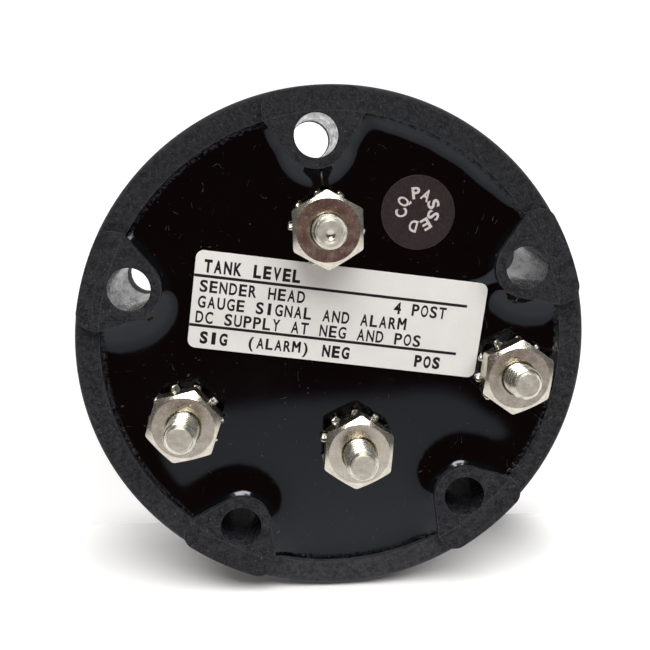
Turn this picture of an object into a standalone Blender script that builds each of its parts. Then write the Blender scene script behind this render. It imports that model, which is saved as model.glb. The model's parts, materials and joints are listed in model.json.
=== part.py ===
"""Terminal head of a tank level sender: a moulded flanged cup with five screw
bosses, a potted circuit board, four threaded terminals with toothed washers and
hex nuts, and a threaded bushing underneath for the probe.

Frame: +Z points out of the terminals, away from the tank. The origin is the
centre of the hub's bottom face. Blender units are metres, sizes below are mm.
"""

import math

import bmesh
import bpy

MM = 0.001

# ---------------------------------------------------------------- dimensions
# Levels along Z
HUB_DROP = 5.0            # hub below the gasket's lower face
GASKET_T = 3.175          # 1/8 in sheet
FLANGE_Z = HUB_DROP + GASKET_T + 0.05
PAD_Z = HUB_DROP + 18.6   # top of the raised screw pads
RIM_Z = PAD_Z - 1.0       # top of the plain rim
FLOOR_Z = 10.7            # inside floor of the cup
LEDGE_Z = 13.65           # ledge that carries the board
BOARD_Z0, BOARD_Z1 = 13.7, 15.3
POTTING_Z0 = 15.45
POTTING_Z = 21.55         # surface of the fill
STICK_Z = POTTING_Z + 0.05
LABEL_T, STICKER_T = 0.13, 0.10

# Housing
OUTER_R = 33.15
CAVITY_R = 29.9
HUB_R = 14.0
EDGE_R = 0.75             # rounding of the rim's outer edge
OUTER_SEG = 80

# Five screw holes on a 2.125 in circle
BOLT_R = 53.975 / 2
HOLE_R = 2.72
HOLE_ANGLES = (94.8, 22.8, -49.2, 242.8, 162.8)
BOSS_R = 4.05             # round nose of a boss around its hole
BOSS_HALF = 6.3           # half width of a boss where it meets the wall
PAD_OUT = 5.85            # pad's reach outward from the hole centre
PAD_CORNER = 2.0

# Terminals: #8-32 studs. Centre x and y, angle of a nut corner, angle of a tooth,
# height of the stud's end, which varies as the studs are set by hand
STUDS = {
    "signal": (-19.31, -9.50, 12.5, 34.5, 30.75),
    "alarm": (-0.90, 15.37, 31.7, 31.4, 29.95),
    "negative": (3.16, -13.42, 26.3, 21.5, 30.75),
    "positive": (23.76, -3.68, 24.4, 9.0, 29.55),
}
STUD_R = 2.08
STUD_SEG = 28
HEAD_R, HEAD_Z0, HEAD_Z1 = 3.8, 10.95, 13.6
NUT_AF = 8.73             # 11/32 in across flats
NUT_H = 3.2
NUT_FACE_R = 3.97         # flat ring inside the chamfer
NUT_BORE_R = 2.25
WASHER_Z0, WASHER_T = 21.80, 0.85
WASHER_R, WASHER_ROOT_R, WASHER_TEETH = 4.95, 3.9, 10
NUT_Z0 = WASHER_Z0 + WASHER_T + 0.05
BOARD_NUT_Z0 = BOARD_Z1 + 0.05

# Label and sticker
LABEL_X, LABEL_Y, LABEL_TURN = 0.73, 4.12, -7.19
LABEL_W, LABEL_H, LABEL_CORNER = 38.1, 12.7, 1.0
STICKER_X, STICKER_Y, STICKER_R = 10.89, 17.34, 4.76

# Probe bushing and electrode contact
BUSH_R, BUSH_BORE_R = 8.0, 6.35
SHOULDER_R, SHOULDER_T = 9.3, 1.25
INSULATOR_R, COLLAR_R = 2.85, 6.1
COLLAR_Z0, COLLAR_Z1 = 6.0, 7.5
PIN_R, PIN_Z0, PIN_Z1 = 1.0, 4.6, 16.3
GROUND_X = 8.3

GASKET_R, GASKET_HOLE_R = 33.0, 14.4

# ---------------------------------------------------------------- helpers


def clear_scene():
    for obj in list(bpy.data.objects):
        bpy.data.objects.remove(obj, do_unlink=True)


def material(name, colour, rough, metal=0.0, coat=0.0):
    mat = bpy.data.materials.new(name)
    mat.use_nodes = True
    shader = mat.node_tree.nodes["Principled BSDF"]
    shader.inputs["Base Color"].default_value = (*colour, 1.0)
    shader.inputs["Roughness"].default_value = rough
    shader.inputs["Metallic"].default_value = metal
    shader.inputs["Coat Weight"].default_value = coat
    mat.diffuse_color = (*colour, 1.0)
    return mat


def add(name, bm, mat=None, smooth=True):
    bmesh.ops.recalc_face_normals(bm, faces=bm.faces)
    mesh = bpy.data.meshes.new(name)
    bm.to_mesh(mesh)
    bm.free()
    if smooth:
        mesh.shade_smooth()
        mesh.set_sharp_from_angle(angle=math.radians(32))
    if mat:
        mesh.materials.append(mat)
    obj = bpy.data.objects.new(name, mesh)
    bpy.context.scene.collection.objects.link(obj)
    return obj


def prism(name, outline, z0, z1, mat=None, smooth=True):
    """An outline in mm, extruded from z0 to z1."""
    bm = bmesh.new()
    face = bm.faces.new([bm.verts.new((x * MM, y * MM, z0 * MM)) for x, y in outline])
    out = bmesh.ops.extrude_face_region(bm, geom=[face])
    top = [v for v in out["geom"] if isinstance(v, bmesh.types.BMVert)]
    bmesh.ops.translate(bm, verts=top, vec=(0, 0, (z1 - z0) * MM))
    return add(name, bm, mat, smooth)


def turned(name, profile, segments, mat=None, centre=(0.0, 0.0)):
    """A closed profile of (r, z) points in mm, turned about Z."""
    bm = bmesh.new()
    rings = []
    for r, z in profile:
        if r < 1e-6:
            rings.append([bm.verts.new((0, 0, z * MM))])
            continue
        rings.append(
            [
                bm.verts.new(
                    (
                        r * MM * math.cos(2 * math.pi * k / segments),
                        r * MM * math.sin(2 * math.pi * k / segments),
                        z * MM,
                    )
                )
                for k in range(segments)
            ]
        )
    closed = profile[0][0] > 1e-6
    pairs = list(zip(rings, rings[1:]))
    if closed:
        pairs.append((rings[-1], rings[0]))
    for low, high in pairs:
        if len(low) == 1 and len(high) == 1:
            continue
        for k in range(segments):
            n = (k + 1) % segments
            if len(low) == 1:
                bm.faces.new((low[0], high[n], high[k]))
            elif len(high) == 1:
                bm.faces.new((low[k], low[n], high[0]))
            else:
                bm.faces.new((low[k], low[n], high[n], high[k]))
    bmesh.ops.translate(bm, verts=bm.verts, vec=(centre[0] * MM, centre[1] * MM, 0))
    return add(name, bm, mat)


def combine(obj, tool, operation="DIFFERENCE"):
    """A Boolean on obj with a hidden wire helper."""
    tool.hide_render = True
    tool.display_type = "WIRE"
    mod = obj.modifiers.new(tool.name, "BOOLEAN")
    mod.operation = operation
    mod.solver = "EXACT"
    mod.object = tool
    return mod


def circle(r, segments, cx=0.0, cy=0.0, phase=0.0):
    return [
        (
            cx + r * math.cos(2 * math.pi * (k + phase) / segments),
            cy + r * math.sin(2 * math.pi * (k + phase) / segments),
        )
        for k in range(segments)
    ]


def rectangle(w, h, cx=0.0, cy=0.0, turn=0.0, corner=0.0, steps=4):
    points = []
    if corner:
        for sx, sy, start in ((1, 1, 0), (-1, 1, 90), (-1, -1, 180), (1, -1, 270)):
            for k in range(steps + 1):
                a = math.radians(start + 90 * k / steps)
                points.append(
                    (
                        sx * (w / 2 - corner) + corner * math.cos(a),
                        sy * (h / 2 - corner) + corner * math.sin(a),
                    )
                )
    else:
        points = [(w / 2, h / 2), (-w / 2, h / 2), (-w / 2, -h / 2), (w / 2, -h / 2)]
    c, s = math.cos(math.radians(turn)), math.sin(math.radians(turn))
    return [(cx + c * x - s * y, cy + s * x + c * y) for x, y in points]


def boss_side(wall_r, nose_r, half):
    """One straight flank of a boss, tangent to its round nose and running out to
    the cavity wall, in (radial, tangential) mm from the hole centre. Also gives
    the angle at which it leaves the nose."""
    wall = (math.sqrt(wall_r**2 - half**2) - BOLT_R, half)
    leave = math.atan2(wall[1], wall[0]) + math.acos(nose_r / math.hypot(*wall))
    start = (nose_r * math.cos(leave), nose_r * math.sin(leave))
    return [start, wall], math.degrees(leave)


def cavity_outline(inset=0.0):
    """The cup's inner outline: a circle with a round-nosed boss pushed into it at
    each hole. inset moves it inward all round."""
    wall_r, nose_r, half = CAVITY_R - inset, BOSS_R + inset, BOSS_HALF + 1.2 * inset
    points = []
    order = sorted(a % 360 for a in HOLE_ANGLES)
    for index, angle in enumerate(order):
        a = math.radians(angle)
        er, et = (math.cos(a), math.sin(a)), (-math.sin(a), math.cos(a))
        side, leave = boss_side(wall_r, nose_r, half)
        local = [(r, -t) for r, t in reversed(side)]
        for k in range(1, 9):
            b = math.radians(360 - leave - (360 - 2 * leave) * k / 9)
            local.append((nose_r * math.cos(b), nose_r * math.sin(b)))
        local += side
        for r, t in local:
            points.append(
                (
                    (BOLT_R + r) * er[0] + t * et[0],
                    (BOLT_R + r) * er[1] + t * et[1],
                )
            )
        reach = math.degrees(math.asin(half / wall_r))
        start = angle + reach
        stop = order[(index + 1) % 5] + (360 if index == 4 else 0) - reach
        steps = max(4, round((stop - start) / 4.5))
        for k in range(1, steps):
            b = math.radians(start + (stop - start) * k / steps)
            points.append((wall_r * math.cos(b), wall_r * math.sin(b)))
    return points


def pad_outline(angle, grow_in=0.8):
    """Raised pad around one hole, in world mm. Its inner side reaches past the
    cavity's outline, which trims it."""
    a = math.radians(angle)
    er, et = (math.cos(a), math.sin(a)), (-math.sin(a), math.cos(a))
    out, half, corner = PAD_OUT, BOSS_HALF + 0.1, PAD_CORNER
    local = []
    # outer edge follows the housing's round side
    rim = BOLT_R + out

    def outer(t):
        return math.sqrt(rim**2 - t**2) - BOLT_R

    edge = half - corner
    for k in range(9):
        t = -edge + 2 * edge * k / 8
        local.append((outer(t), t))
    centre = (outer(edge) - corner, edge)
    for k in range(1, 6):
        b = math.radians(90 * k / 6)
        local.append((centre[0] + corner * math.cos(b), centre[1] + corner * math.sin(b)))
    local.append((centre[0], half))
    nose = BOSS_R + grow_in
    wall = (math.sqrt(CAVITY_R**2 - half**2) - BOLT_R, half)
    leave = math.atan2(wall[1], wall[0]) + math.acos(nose / math.hypot(*wall))
    for k in range(9):
        b = leave + (2 * math.pi - 2 * leave) * k / 8
        local.append((nose * math.cos(b), nose * math.sin(b)))
    local.append((centre[0], -half))
    for k in range(5, 0, -1):
        b = math.radians(90 * k / 6)
        local.append((centre[0] + corner * math.cos(b), -centre[1] - corner * math.sin(b)))
    return [
        ((BOLT_R + r) * er[0] + t * et[0], (BOLT_R + r) * er[1] + t * et[1])
        for r, t in local
    ]


def hole_centres():
    return [
        (BOLT_R * math.cos(math.radians(a)), BOLT_R * math.sin(math.radians(a)))
        for a in HOLE_ANGLES
    ]


# ---------------------------------------------------------------- the pieces


def build_housing(mat):
    rounding = [
        (
            OUTER_R - EDGE_R + EDGE_R * math.sin(math.radians(a)),
            RIM_Z - EDGE_R + EDGE_R * math.cos(math.radians(a)),
        )
        for a in (90, 60, 30, 0)
    ]
    profile = [
        (0, 0),
        (HUB_R - 0.5, 0),
        (HUB_R, 0.5),
        (HUB_R, FLANGE_Z),
        (OUTER_R - 0.4, FLANGE_Z),
        (OUTER_R, FLANGE_Z + 0.4),
        *rounding,
        (0, RIM_Z),
    ]
    body = turned("head_housing", profile, OUTER_SEG, mat)
    for index, angle in enumerate(HOLE_ANGLES):
        pad = prism(f"pad_shape_{index}", pad_outline(angle), RIM_Z - 2.0, PAD_Z)
        combine(body, pad, "UNION")
    combine(body, prism("cavity_cut", cavity_outline(), LEDGE_Z, PAD_Z + 2))
    combine(body, prism("well_cut", cavity_outline(1.5), FLOOR_Z, LEDGE_Z + 1))
    for index, (x, y) in enumerate(hole_centres()):
        cut = prism(f"hole_cut_{index}", circle(HOLE_R, 28, x, y), -2, PAD_Z + 4)
        combine(body, cut)
    bore = prism("hub_bore_cut", circle(BUSH_R + 0.12, 32), -2, FLOOR_Z + 1)
    combine(body, bore)
    return body


def build_gasket(mat):
    body = turned(
        "flange_gasket",
        [
            (GASKET_HOLE_R, HUB_DROP),
            (GASKET_R, HUB_DROP),
            (GASKET_R, HUB_DROP + GASKET_T),
            (GASKET_HOLE_R, HUB_DROP + GASKET_T),
        ],
        64,
        mat,
    )
    for index, (x, y) in enumerate(hole_centres()):
        cut = prism(f"gasket_cut_{index}", circle(HOLE_R, 24, x, y), 0, 15)
        combine(body, cut)
    return body


def stud_profile(top):
    chamfer = 0.5
    return [
        (0, HEAD_Z0),
        (HEAD_R - 0.5, HEAD_Z0),
        (HEAD_R, HEAD_Z0 + 0.5),
        (HEAD_R, HEAD_Z1),
        (STUD_R, HEAD_Z1),
        (STUD_R, top - chamfer),
        (STUD_R - chamfer, top),
        (0, top),
    ]


def build_nut(name, x, y, corner_angle, z0, mat, chamfered=True):
    """A hex nut with turned chamfers at both ends and a countersunk bore, or a
    plain one."""
    circum = NUT_AF / 2 / math.cos(math.radians(30))
    hexagon = [
        (
            circum * math.cos(math.radians(corner_angle + 60 * k)),
            circum * math.sin(math.radians(corner_angle + 60 * k)),
        )
        for k in range(6)
    ]
    nut = prism(name, hexagon, 0, NUT_H, mat)
    if not chamfered:
        bore = prism(name + "_bore", circle(NUT_BORE_R, 24), -1, NUT_H + 1)
        combine(nut, bore)
        for obj in (nut, bore):
            obj.location = (x * MM, y * MM, z0 * MM)
        return nut
    face_r = NUT_FACE_R
    drop = (circum - face_r) * math.tan(math.radians(30)) + 0.02
    blank = turned(
        name + "_blank",
        [
            (0, 0),
            (face_r, 0),
            (circum + 0.035, drop),
            (circum + 0.035, NUT_H - drop),
            (face_r, NUT_H),
            (0, NUT_H),
        ],
        36,
    )
    combine(nut, blank, "INTERSECT")
    sink = 0.28
    bore = turned(
        name + "_bore",
        [
            (0, -1),
            (NUT_BORE_R + sink + 1, -1),
            (NUT_BORE_R, sink),
            (NUT_BORE_R, NUT_H - sink),
            (NUT_BORE_R + sink + 1, NUT_H + 1),
            (0, NUT_H + 1),
        ],
        28,
    )
    combine(nut, bore)
    for obj in (nut, blank, bore):
        obj.location = (x * MM, y * MM, z0 * MM)
    return nut


def build_washer(name, x, y, tooth_angle, mat):
    """An external-tooth lock washer, drawn flat."""
    outline = []
    step = 360 / WASHER_TEETH
    for k in range(WASHER_TEETH):
        for offset, r in (
            (-0.17, WASHER_R),
            (0.17, WASHER_R),
            (0.27, WASHER_ROOT_R),
            (0.73, WASHER_ROOT_R),
        ):
            a = math.radians(tooth_angle + step * (k + offset))
            outline.append((r * math.cos(a), r * math.sin(a)))
    washer = prism(name, outline, 0, WASHER_T, mat, smooth=False)
    bore = prism(name + "_bore", circle(NUT_BORE_R + 0.05, 28), -1, WASHER_T + 1)
    combine(washer, bore)
    for obj in (washer, bore):
        obj.location = (x * MM, y * MM, WASHER_Z0 * MM)
    return washer


def build_terminals(steel, plated):
    for label, (x, y, corner, tooth, top) in STUDS.items():
        turned(f"stud_{label}", stud_profile(top), STUD_SEG, steel, centre=(x, y))
        build_nut(
            f"board_nut_{label}", x, y, corner + 14, BOARD_NUT_Z0, plated, chamfered=False
        )
        washer = build_washer(f"washer_{label}", x, y, tooth, plated)
        axis = bpy.data.objects.new(f"axis_{label}", None)
        axis.location = (x * MM, y * MM, 0)
        bpy.context.scene.collection.objects.link(axis)
        nut = build_nut(f"nut_{label}", x, y, corner, NUT_Z0, plated)
        for obj in (washer, nut):
            obj.parent = axis
            obj.location = (0, 0, obj.location.z)


def build_board(mat):
    board = prism("circuit_board", cavity_outline(0.5), BOARD_Z0, BOARD_Z1, mat)
    for label, (x, y, *_) in STUDS.items():
        combine(board, prism(f"board_cut_{label}", circle(STUD_R + 0.15, STUD_SEG, x, y), 10, 20))
    combine(board, prism("board_cut_pin", circle(PIN_R + 0.12, 16), 10, 20))
    combine(board, prism("board_cut_ground", circle(0.6, 16, -GROUND_X, 0), 10, 20))
    return board


# name, kind, centre x and y, size, height, turn, colour
COMPONENTS = (
    ("sensing_chip", "box", (0.5, -4.6), (8.7, 3.9), 1.7, 0, (0.02, 0.02, 0.022)),
    ("voltage_regulator", "box", (13.0, -8.6), (6.5, 3.6), 1.7, 20, (0.02, 0.02, 0.02)),
    ("alarm_transistor", "box", (8.6, 14.0), (4.6, 2.6), 1.5, 10, (0.02, 0.02, 0.02)),
    ("smoothing_capacitor", "can", (11.4, 5.2), (2.6, 0), 4.6, 0, (0.6, 0.6, 0.62)),
    ("timing_capacitor", "box", (-11.0, 1.6), (7.2, 2.6), 4.8, 90, (0.35, 0.05, 0.04)),
    ("calibration_trimmer", "box", (-7.8, -15.0), (6.6, 6.6), 4.4, 0, (0.03, 0.1, 0.4)),
    ("reverse_diode", "bar", (16.8, 11.6), (1.3, 5.2), 0, 40, (0.02, 0.02, 0.02)),
    ("span_resistor", "bar", (-11.0, 10.6), (1.1, 6.2), 0, 0, (0.6, 0.45, 0.25)),
    ("pull_up_resistor", "bar", (-19.0, 3.0), (1.1, 6.2), 0, 90, (0.6, 0.45, 0.25)),
)


def bar_outline(radius, length, x, y, turn, z, grow=0.0):
    """A cylinder lying along its own X, as a turned body."""
    bm = bmesh.new()
    bmesh.ops.create_cone(
        bm,
        cap_ends=True,
        segments=16,
        radius1=(radius + grow) * MM,
        radius2=(radius + grow) * MM,
        depth=(length + 2 * grow) * MM,
    )
    for v in bm.verts:
        u = v.co.z
        w = -v.co.x
        c, s = math.cos(math.radians(turn)), math.sin(math.radians(turn))
        v.co = (
            x * MM + c * u - s * v.co.y,
            y * MM + s * u + c * v.co.y,
            z * MM + w,
        )
    return bm


def build_components():
    """The board's parts, and a clearance cutter for each."""
    cutters = []
    base = BOARD_Z1 + 0.05
    for name, kind, (x, y), (a, b), height, turn, colour in COMPONENTS:
        mat = material(name, colour, 0.45, 0.0)
        if kind == "box":
            prism(name, rectangle(a, b, x, y, turn), base, base + height, mat, smooth=False)
            cut = prism(
                name + "_room",
                rectangle(a + 0.6, b + 0.6, x, y, turn),
                POTTING_Z0 - 1,
                base + height + 0.3,
            )
        elif kind == "can":
            turned(
                name,
                [(0, base), (a, base), (a, base + height - 0.3), (a - 0.3, base + height), (0, base + height)],
                24,
                mat,
                centre=(x, y),
            )
            cut = prism(
                name + "_room", circle(a + 0.3, 24, x, y), POTTING_Z0 - 1, base + height + 0.3
            )
        else:
            add(name, bar_outline(a, b, x, y, turn, base + a + 0.02), mat)
            cut = prism(
                name + "_room",
                rectangle(b + 0.6, 2 * a + 0.6, x, y, turn),
                POTTING_Z0 - 1,
                base + 2 * a + 0.35,
            )
        cutters.append(cut)
    return cutters


def build_potting(mat, cutters):
    potting = prism("potting_compound", cavity_outline(0.12), POTTING_Z0, POTTING_Z, mat)
    for cut in cutters:
        combine(potting, cut)
    for label, (x, y, *_) in STUDS.items():
        room = prism(
            f"board_nut_room_{label}",
            circle(5.4, 24, x, y),
            POTTING_Z0 - 1,
            BOARD_NUT_Z0 + NUT_H + 0.3,
        )
        combine(potting, room)
        combine(
            potting,
            prism(f"stud_room_{label}", circle(STUD_R + 0.1, STUD_SEG, x, y), 10, 25),
        )
    for index, (x, r) in enumerate(((0.0, PIN_R + 0.3), (-GROUND_X, 0.8))):
        combine(
            potting,
            prism(f"pin_room_{index}", circle(r, 16, x, 0), POTTING_Z0 - 1, PIN_Z1 + 0.3),
        )
    return potting


def build_probe_socket(aluminium, ptfe, brass, tin):
    turned(
        "probe_bushing",
        [
            (BUSH_BORE_R + 0.4, 0.05),
            (BUSH_R - 0.3, 0.05),
            (BUSH_R, 0.35),
            (BUSH_R, FLOOR_Z + 0.05),
            (SHOULDER_R, FLOOR_Z + 0.05),
            (SHOULDER_R, FLOOR_Z + 0.05 + SHOULDER_T),
            (INSULATOR_R + 0.12, FLOOR_Z + 0.05 + SHOULDER_T),
            (INSULATOR_R + 0.12, COLLAR_Z1 + 0.1),
            (BUSH_BORE_R, COLLAR_Z1 + 0.1),
            (BUSH_BORE_R, 0.45),
        ],
        32,
        aluminium,
    )
    turned(
        "electrode_insulator",
        [
            (PIN_R + 0.1, COLLAR_Z0),
            (COLLAR_R - 0.3, COLLAR_Z0),
            (COLLAR_R, COLLAR_Z0 + 0.3),
            (COLLAR_R, COLLAR_Z1),
            (INSULATOR_R, COLLAR_Z1),
            (INSULATOR_R, 13.2),
            (PIN_R + 0.1, 13.2),
        ],
        24,
        ptfe,
    )
    turned(
        "electrode_pin",
        [
            (0, PIN_Z0),
            (PIN_R - 0.35, PIN_Z0),
            (PIN_R, PIN_Z0 + 0.5),
            (PIN_R, PIN_Z1 - 0.2),
            (PIN_R - 0.2, PIN_Z1),
            (0, PIN_Z1),
        ],
        24,
        brass,
    )
    turned(
        "ground_pin",
        [
            (0, FLOOR_Z + SHOULDER_T + 0.1),
            (0.45, FLOOR_Z + SHOULDER_T + 0.1),
            (0.45, PIN_Z1),
            (0, PIN_Z1),
        ],
        12,
        tin,
        centre=(-GROUND_X, 0),
    )


def main():
    clear_scene()
    black = material("moulded_black", (0.018, 0.018, 0.019), 0.55)
    rubber = material("gasket_rubber", (0.025, 0.025, 0.025), 0.8)
    epoxy = material("potting_epoxy", (0.006, 0.006, 0.007), 0.08, 0.0, 0.5)
    board = material("board_green", (0.02, 0.16, 0.07), 0.5)
    steel = material("stud_steel", (0.62, 0.60, 0.56), 0.28, 1.0)
    plated = material("plated_steel", (0.66, 0.65, 0.62), 0.25, 1.0)
    paper = material("label_white", (0.74, 0.72, 0.69), 0.4)
    vinyl = material("sticker_dark", (0.035, 0.022, 0.022), 0.4)
    aluminium = material("bushing_aluminium", (0.75, 0.75, 0.76), 0.35, 1.0)
    ptfe = material("insulator_white", (0.85, 0.85, 0.84), 0.5)
    brass = material("pin_brass", (0.75, 0.58, 0.28), 0.3, 1.0)
    tin = material("pin_tin", (0.7, 0.7, 0.7), 0.35, 1.0)

    build_housing(black)
    build_gasket(rubber)
    build_terminals(steel, plated)
    build_board(board)
    build_potting(epoxy, build_components())
    build_probe_socket(aluminium, ptfe, brass, tin)
    prism(
        "rating_label",
        rectangle(LABEL_W, LABEL_H, LABEL_X, LABEL_Y, LABEL_TURN, LABEL_CORNER),
        STICK_Z,
        STICK_Z + LABEL_T,
        paper,
    )
    prism(
        "inspection_sticker",
        circle(STICKER_R, 40, STICKER_X, STICKER_Y),
        STICK_Z,
        STICK_Z + STICKER_T,
        vinyl,
    )


main()
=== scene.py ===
"""Looks for the terminal head of a tank level sender: moulded black cup, glossy
potting with a creeping edge, threaded studs, chamfered nuts, toothed washers, a
printed label and an inspection sticker. Sizes in mm, turned into metres by MM."""

import json
import math

import bmesh
import bpy
import numpy as np
from mathutils import Matrix, Vector
from mathutils.geometry import delaunay_2d_cdt

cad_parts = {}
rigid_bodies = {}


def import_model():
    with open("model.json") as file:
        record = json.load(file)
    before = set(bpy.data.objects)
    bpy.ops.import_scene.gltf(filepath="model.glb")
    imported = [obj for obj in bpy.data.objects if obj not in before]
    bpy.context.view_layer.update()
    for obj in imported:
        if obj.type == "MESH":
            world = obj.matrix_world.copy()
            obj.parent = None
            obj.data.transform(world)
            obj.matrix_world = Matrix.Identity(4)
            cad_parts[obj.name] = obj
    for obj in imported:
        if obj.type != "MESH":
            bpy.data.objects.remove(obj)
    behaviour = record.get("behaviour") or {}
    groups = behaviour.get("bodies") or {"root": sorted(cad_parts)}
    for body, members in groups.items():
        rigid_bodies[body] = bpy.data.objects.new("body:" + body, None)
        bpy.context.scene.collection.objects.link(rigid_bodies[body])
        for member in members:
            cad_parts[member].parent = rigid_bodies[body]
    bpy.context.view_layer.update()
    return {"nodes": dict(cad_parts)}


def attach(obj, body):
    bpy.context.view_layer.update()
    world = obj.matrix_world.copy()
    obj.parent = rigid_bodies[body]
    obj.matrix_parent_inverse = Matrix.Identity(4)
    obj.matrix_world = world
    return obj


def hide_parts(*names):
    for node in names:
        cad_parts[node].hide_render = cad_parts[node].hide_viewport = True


MM = 0.001
for old in list(bpy.data.objects):
    bpy.data.objects.remove(old, do_unlink=True)

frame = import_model()
NODES = frame["nodes"]

# ------------------------------------------------------------------ dimensions
HUB_DROP = 5.0
FLANGE_Z = HUB_DROP + 3.175 + 0.05
PAD_Z = HUB_DROP + 18.6
RIM_Z = PAD_Z - 1.0
POTTING_Z = 21.55
STICK_Z = POTTING_Z + 0.05
OUTER_R, CAVITY_R, HUB_R, EDGE_R = 33.15, 29.9, 14.0, 0.75
BOLT_R, HOLE_R = 53.975 / 2, 2.72
HOLE_ANGLES = (94.8, 22.8, -49.2, 242.8, 162.8)
BOSS_R, BOSS_HALF, PAD_OUT, PAD_CORNER = 4.05, 6.3, 5.85, 2.0
STUDS = {
    "signal": (-19.31, -9.50, 12.5, 34.5, 30.75),
    "alarm": (-0.90, 15.37, 31.7, 31.4, 29.95),
    "negative": (3.16, -13.42, 26.3, 21.5, 30.75),
    "positive": (23.76, -3.68, 24.4, 9.0, 29.55),
}
STUD_R, STUD_ROOT_R, PITCH = 2.07, 1.66, 0.79375
NUT_AF, NUT_H, NUT_FACE_R = 8.73, 3.2, 3.97
WASHER_Z0, WASHER_T = 21.80, 0.85
NUT_Z0 = WASHER_Z0 + WASHER_T + 0.05
LABEL = (0.73, 4.12, -7.19, 38.1, 12.7, 1.0)
LABEL_T, STICKER_T = 0.13, 0.10
STICKER = (10.89, 17.34, 4.76)


def hole_centres():
    return [(BOLT_R * math.cos(math.radians(a)), BOLT_R * math.sin(math.radians(a))) for a in HOLE_ANGLES]


# ------------------------------------------------------------------ materials
class Maker:
    """Short calls for building a node tree."""

    def __init__(self, name):
        self.mat = bpy.data.materials.new(name)
        self.mat.use_nodes = True
        self.tree = self.mat.node_tree
        self.shader = self.tree.nodes["Principled BSDF"]
        self.coord = self.tree.nodes.new("ShaderNodeTexCoord").outputs["Object"]

    def node(self, kind, **values):
        made = self.tree.nodes.new(kind)
        for key, value in values.items():
            setattr(made, key, value)
        return made

    def link(self, a, b):
        self.tree.links.new(a, b)

    def put(self, socket, value):
        if hasattr(value, "is_linked"):
            self.link(value, socket)
        else:
            socket.default_value = value

    def scaled(self, x, y, z, turn=0.0):
        made = self.node("ShaderNodeMapping")
        made.inputs["Scale"].default_value = (x, y, z)
        made.inputs["Rotation"].default_value = (0, 0, math.radians(turn))
        self.link(self.coord, made.inputs["Vector"])
        return made.outputs["Vector"]

    def noise(self, size_mm, detail=3.0, rough=0.55, vector=None, distortion=0.0):
        made = self.node("ShaderNodeTexNoise")
        self.link(vector or self.coord, made.inputs["Vector"])
        made.inputs["Scale"].default_value = 1000.0 / size_mm
        made.inputs["Detail"].default_value = detail
        made.inputs["Roughness"].default_value = rough
        made.inputs["Distortion"].default_value = distortion
        return made.outputs["Fac"]

    def cells(self, size_mm, feature="F1", randomness=1.0):
        made = self.node("ShaderNodeTexVoronoi", feature=feature)
        self.link(self.coord, made.inputs["Vector"])
        made.inputs["Scale"].default_value = 1000.0 / size_mm
        made.inputs["Randomness"].default_value = randomness
        return made

    def ramp(self, value, low, high, a=0.0, b=1.0):
        made = self.node("ShaderNodeMapRange", clamp=True)
        made.interpolation_type = "SMOOTHSTEP"
        self.link(value, made.inputs["Value"])
        made.inputs["From Min"].default_value = low
        made.inputs["From Max"].default_value = high
        made.inputs["To Min"].default_value = a
        made.inputs["To Max"].default_value = b
        return made.outputs["Result"]

    def maths(self, operation, a, b=0.0, c=0.0):
        made = self.node("ShaderNodeMath", operation=operation)
        for socket, value in zip(made.inputs, (a, b, c)):
            self.put(socket, value)
        return made.outputs["Value"]

    def mix(self, factor, a, b):
        made = self.node("ShaderNodeMix", data_type="RGBA")
        self.put(made.inputs["Factor"], factor)
        for socket, value in ((made.inputs[6], a), (made.inputs[7], b)):
            if isinstance(value, tuple):
                value = (*value, 1.0) if len(value) == 3 else value
            self.put(socket, value)
        return made.outputs[2]

    def bump(self, height, strength, distance_mm, normal=None):
        made = self.node("ShaderNodeBump")
        made.inputs["Strength"].default_value = strength
        made.inputs["Distance"].default_value = distance_mm * MM
        self.link(height, made.inputs["Height"])
        if normal is not None:
            self.link(normal, made.inputs["Normal"])
        return made.outputs["Normal"]

    def edges(self, radius_mm, samples=6):
        """1 on convex or concave edges, 0 on flats."""
        bevel = self.node("ShaderNodeBevel", samples=samples)
        bevel.inputs["Radius"].default_value = radius_mm * MM
        plain = self.node("ShaderNodeNewGeometry").outputs["Normal"]
        dot = self.node("ShaderNodeVectorMath", operation="DOT_PRODUCT")
        self.link(bevel.outputs["Normal"], dot.inputs[0])
        self.link(plain, dot.inputs[1])
        return self.maths("SUBTRACT", 1.0, dot.outputs["Value"])

    def surface(self, colour, rough, normal=None, **constants):
        self.put(self.shader.inputs["Base Color"], (*colour, 1.0) if isinstance(colour, tuple) else colour)
        self.put(self.shader.inputs["Roughness"], rough)
        if normal is not None:
            self.link(normal, self.shader.inputs["Normal"])
        for name, value in constants.items():
            self.shader.inputs[name.replace("_", " ")].default_value = value
        return self.mat


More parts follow.
